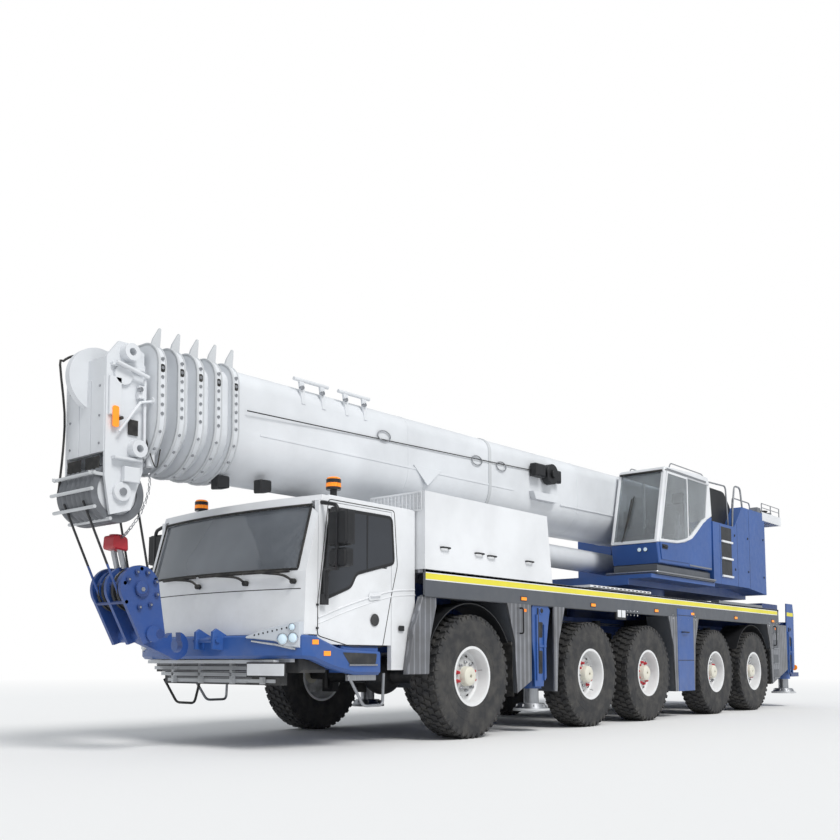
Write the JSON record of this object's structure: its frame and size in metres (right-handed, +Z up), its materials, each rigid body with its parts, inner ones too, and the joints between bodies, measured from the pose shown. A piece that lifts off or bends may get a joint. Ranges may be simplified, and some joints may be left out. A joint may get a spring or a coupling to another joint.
{
  "type": "mobile crane",
  "caption": "All-terrain mobile crane: wheeled carrier with driver's cab, slewing superstructure, telescopic boom, hook block and folding outriggers.",
  "frame": {"origin": "on the ground, under the middle of the parked machine's length and width", "axes": "+Z up; the driver's cab and the boom's nose face -Y; +X is the machine's left side"},
  "size_m": [3.16, 15.05, 3.9148],
  "materials": {
    "tyre_rubber": "matt",
    "rim_white": "gloss",
    "chassis_black": "satin",
    "blue_paint": "gloss",
    "blue_dark": "satin",
    "deck_grey": "satin",
    "white_paint": "gloss",
    "boom_white": "gloss",
    "tinted_glass": "clear",
    "cab_plastic": "matt",
    "steel_bright": "satin",
    "chrome_rod": "polished"
  },
  "bodies": {
    "carrier": {"chassis_frame": "blue_dark", "carrier_deck": "deck_grey", "engine_housing": "white_paint", "cab_shell": "white_paint", "cab_glass": "tinted_glass", "cab_interior": "cab_plastic", "front_bumper": "blue_paint", "axles": "chassis_black"},
    "door_left": {"door_left": "white_paint"},
    "door_right": {"door_right": "white_paint"},
    "knuckle_1_left": {"knuckle_1_left": "chassis_black"},
    "knuckle_1_right": {"knuckle_1_right": "chassis_black"},
    "knuckle_2_left": {"knuckle_2_left": "chassis_black"},
    "knuckle_2_right": {"knuckle_2_right": "chassis_black"},
    "knuckle_4_left": {"knuckle_4_left": "chassis_black"},
    "knuckle_4_right": {"knuckle_4_right": "chassis_black"},
    "knuckle_5_left": {"knuckle_5_left": "chassis_black"},
    "knuckle_5_right": {"knuckle_5_right": "chassis_black"},
    "wheel_1_left": {"tyre_1_left": "tyre_rubber", "rim_1_left": "rim_white"},
    "wheel_1_right": {"tyre_1_right": "tyre_rubber", "rim_1_right": "rim_white"},
    "wheel_2_left": {"tyre_2_left": "tyre_rubber", "rim_2_left": "rim_white"},
    "wheel_2_right": {"tyre_2_right": "tyre_rubber", "rim_2_right": "rim_white"},
    "wheel_3_left": {"tyre_3_left": "tyre_rubber", "rim_3_left": "rim_white"},
    "wheel_3_right": {"tyre_3_right": "tyre_rubber", "rim_3_right": "rim_white"},
    "wheel_4_left": {"tyre_4_left": "tyre_rubber", "rim_4_left": "rim_white"},
    "wheel_4_right": {"tyre_4_right": "tyre_rubber", "rim_4_right": "rim_white"},
    "wheel_5_left": {"tyre_5_left": "tyre_rubber", "rim_5_left": "rim_white"},
    "wheel_5_right": {"tyre_5_right": "tyre_rubber", "rim_5_right": "rim_white"},
    "beam_front_left": {"beam_front_left": "blue_paint"},
    "jack_front_left": {"jack_front_left": "steel_bright"},
    "beam_front_right": {"beam_front_right": "blue_paint"},
    "jack_front_right": {"jack_front_right": "steel_bright"},
    "beam_rear_left": {"beam_rear_left": "blue_paint"},
    "jack_rear_left": {"jack_rear_left": "steel_bright"},
    "beam_rear_right": {"beam_rear_right": "blue_paint"},
    "jack_rear_right": {"jack_rear_right": "steel_bright"},
    "turntable": {"turntable": "blue_paint", "crane_cab_shell": "white_paint", "crane_cab_glass": "tinted_glass"},
    "crane_cab_door": {"crane_cab_door": "white_paint"},
    "boom_base": {"boom_base": "boom_white"},
    "boom_section_1": {"boom_section_1": "boom_white"},
    "boom_section_2": {"boom_section_2": "boom_white"},
    "boom_section_3": {"boom_section_3": "boom_white"},
    "boom_section_4": {"boom_section_4": "boom_white"},
    "boom_head": {"boom_head": "boom_white", "jib_lugs": "boom_white"},
    "luff_barrel": {"luff_barrel": "boom_white"},
    "luff_rod": {"luff_rod": "chrome_rod"},
    "hook_block": {"hook_block": "blue_paint"}
  },
  "joints": [
    {"name": "door_left_hinge", "type": "hinge", "parent": "carrier", "child": "door_left", "pos_m": [1.25, -5.615, 1.7], "axis": [0, 0, -1], "range_deg": [0, 75]},
    {"name": "door_right_hinge", "type": "hinge", "parent": "carrier", "child": "door_right", "pos_m": [-1.25, -5.615, 1.7], "axis": [0, 0, 1], "range_deg": [0, 75]},
    {"name": "steer_1_left", "type": "hinge", "parent": "carrier", "child": "knuckle_1_left", "pos_m": [0.9405, -3.325, 0.685], "axis": [0, 0, 1], "range_deg": [-35, 35]},
    {"name": "steer_1_right", "type": "hinge", "parent": "carrier", "child": "knuckle_1_right", "pos_m": [-0.9405, -3.325, 0.685], "axis": [0, 0, 1], "range_deg": [-36, 36]},
    {"name": "steer_2_left", "type": "hinge", "parent": "carrier", "child": "knuckle_2_left", "pos_m": [0.9405, -0.725, 0.685], "axis": [0, 0, 1], "range_deg": [-16.4, 16.4]},
    {"name": "steer_2_right", "type": "hinge", "parent": "carrier", "child": "knuckle_2_right", "pos_m": [-0.9405, -0.725, 0.685], "axis": [0, 0, 1], "range_deg": [-16.4, 16.4]},
    {"name": "steer_4_left", "type": "hinge", "parent": "carrier", "child": "knuckle_4_left", "pos_m": [0.9405, 3.325, 0.685], "axis": [0, 0, 1], "range_deg": [-22.7, 22.7]},
    {"name": "steer_4_right", "type": "hinge", "parent": "carrier", "child": "knuckle_4_right", "pos_m": [-0.9405, 3.325, 0.685], "axis": [0, 0, 1], "range_deg": [-22.7, 22.7]},
    {"name": "steer_5_left", "type": "hinge", "parent": "carrier", "child": "knuckle_5_left", "pos_m": [0.9405, 4.975, 0.685], "axis": [0, 0, 1], "range_deg": [-34.6, 34.6]},
    {"name": "steer_5_right", "type": "hinge", "parent": "carrier", "child": "knuckle_5_right", "pos_m": [-0.9405, 4.975, 0.685], "axis": [0, 0, 1], "range_deg": [-34.6, 34.6]},
    {"name": "wheel_1_left_spin", "type": "hinge", "parent": "knuckle_1_left", "child": "wheel_1_left", "pos_m": [1.1875, -3.325, 0.685], "axis": [1, 0, 0], "continuous": true},
    {"name": "wheel_1_right_spin", "type": "hinge", "parent": "knuckle_1_right", "child": "wheel_1_right", "pos_m": [-1.1875, -3.325, 0.685], "axis": [1, 0, 0], "continuous": true},
    {"name": "wheel_2_left_spin", "type": "hinge", "parent": "knuckle_2_left", "child": "wheel_2_left", "pos_m": [1.1875, -0.725, 0.685], "axis": [1, 0, 0], "continuous": true},
    {"name": "wheel_2_right_spin", "type": "hinge", "parent": "knuckle_2_right", "child": "wheel_2_right", "pos_m": [-1.1875, -0.725, 0.685], "axis": [1, 0, 0], "continuous": true},
    {"name": "wheel_3_left_spin", "type": "hinge", "parent": "carrier", "child": "wheel_3_left", "pos_m": [1.1875, 0.925, 0.685], "axis": [1, 0, 0], "continuous": true},
    {"name": "wheel_3_right_spin", "type": "hinge", "parent": "carrier", "child": "wheel_3_right", "pos_m": [-1.1875, 0.925, 0.685], "axis": [1, 0, 0], "continuous": true},
    {"name": "wheel_4_left_spin", "type": "hinge", "parent": "knuckle_4_left", "child": "wheel_4_left", "pos_m": [1.1875, 3.325, 0.685], "axis": [1, 0, 0], "continuous": true},
    {"name": "wheel_4_right_spin", "type": "hinge", "parent": "knuckle_4_right", "child": "wheel_4_right", "pos_m": [-1.1875, 3.325, 0.685], "axis": [1, 0, 0], "continuous": true},
    {"name": "wheel_5_left_spin", "type": "hinge", "parent": "knuckle_5_left", "child": "wheel_5_left", "pos_m": [1.1875, 4.975, 0.685], "axis": [1, 0, 0], "continuous": true},
    {"name": "wheel_5_right_spin", "type": "hinge", "parent": "knuckle_5_right", "child": "wheel_5_right", "pos_m": [-1.1875, 4.975, 0.685], "axis": [1, 0, 0], "continuous": true},
    {"name": "beam_front_left_slide", "type": "slide", "parent": "carrier", "child": "beam_front_left", "axis": [1, 0, 0], "range_m": [0, 1.5]},
    {"name": "jack_front_left_slide", "type": "slide", "parent": "beam_front_left", "child": "jack_front_left", "axis": [0, 0, -1], "range_m": [0, 0.6]},
    {"name": "beam_front_right_slide", "type": "slide", "parent": "carrier", "child": "beam_front_right", "axis": [-1, 0, 0], "range_m": [0, 1.5]},
    {"name": "jack_front_right_slide", "type": "slide", "parent": "beam_front_right", "child": "jack_front_right", "axis": [0, 0, -1], "range_m": [0, 0.6]},
    {"name": "beam_rear_left_slide", "type": "slide", "parent": "carrier", "child": "beam_rear_left", "axis": [1, 0, 0], "range_m": [0, 1.5]},
    {"name": "jack_rear_left_slide", "type": "slide", "parent": "beam_rear_left", "child": "jack_rear_left", "axis": [0, 0, -1], "range_m": [0, 0.6]},
    {"name": "beam_rear_right_slide", "type": "slide", "parent": "carrier", "child": "beam_rear_right", "axis": [-1, 0, 0], "range_m": [0, 1.5]},
    {"name": "jack_rear_right_slide", "type": "slide", "parent": "beam_rear_right", "child": "jack_rear_right", "axis": [0, 0, -1], "range_m": [0, 0.6]},
    {"name": "slew", "type": "hinge", "parent": "carrier", "child": "turntable", "pos_m": [0, 2.475, 1.95], "axis": [0, 0, 1], "continuous": true},
    {"name": "crane_cab_door_slide", "type": "slide", "parent": "turntable", "child": "crane_cab_door", "axis": [0, 1, 0], "range_m": [0, 0.7]},
    {"name": "luff", "type": "hinge", "parent": "turntable", "child": "boom_base", "pos_m": [0, 5.225, 3.25], "axis": [-1, 0, 0], "range_deg": [0, 82]},
    {"name": "telescope_1", "type": "slide", "parent": "boom_base", "child": "boom_section_1", "axis": [0, -0.9999, -0.014], "range_m": [0, 9.36]},
    {"name": "telescope_2", "type": "slide", "parent": "boom_section_1", "child": "boom_section_2", "axis": [0, -0.9999, -0.014], "range_m": [0, 9.36]},
    {"name": "telescope_3", "type": "slide", "parent": "boom_section_2", "child": "boom_section_3", "axis": [0, -0.9999, -0.014], "range_m": [0, 9.36]},
    {"name": "telescope_4", "type": "slide", "parent": "boom_section_3", "child": "boom_section_4", "axis": [0, -0.9999, -0.014], "range_m": [0, 9.36]},
    {"name": "telescope_5", "type": "slide", "parent": "boom_section_4", "child": "boom_head", "axis": [0, -0.9999, -0.014], "range_m": [0, 9.36]},
    {"name": "luff_barrel_pivot", "type": "hinge", "parent": "turntable", "child": "luff_barrel", "pos_m": [0, 2.975, 2.44], "axis": [-1, 0, 0], "range_deg": [-1, 95.12]},
    {"name": "luff_rod_slide", "type": "slide", "parent": "luff_barrel", "child": "luff_rod", "axis": [0, -1, 0.0035], "range_m": [-0.02, 2.926]},
    {"name": "hook_block_swing", "type": "hinge", "parent": "boom_head", "child": "hook_block", "pos_m": [0, -7.1636, 2.3469], "axis": [-1, 0, 0], "range_deg": [-64.14, 1]}
  ],
  "couplings": [
    {"joint": "steer_1_right", "follows": "steer_1_left", "ratio": 1},
    {"joint": "steer_2_left", "follows": "steer_1_left", "ratio": 0.44},
    {"joint": "steer_2_right", "follows": "steer_1_left", "ratio": 0.44},
    {"joint": "steer_4_left", "follows": "steer_1_left", "ratio": -0.62},
    {"joint": "steer_4_right", "follows": "steer_1_left", "ratio": -0.62},
    {"joint": "steer_5_left", "follows": "steer_1_left", "ratio": -0.96},
    {"joint": "steer_5_right", "follows": "steer_1_left", "ratio": -0.96},
    {"joint": "luff_barrel_pivot", "follows": "luff", "ratio": 1.1478},
    {"joint": "luff_rod_slide", "follows": "luff", "m_per_rad": 2.0303},
    {"joint": "hook_block_swing", "follows": "luff", "ratio": -0.77}
  ]
}
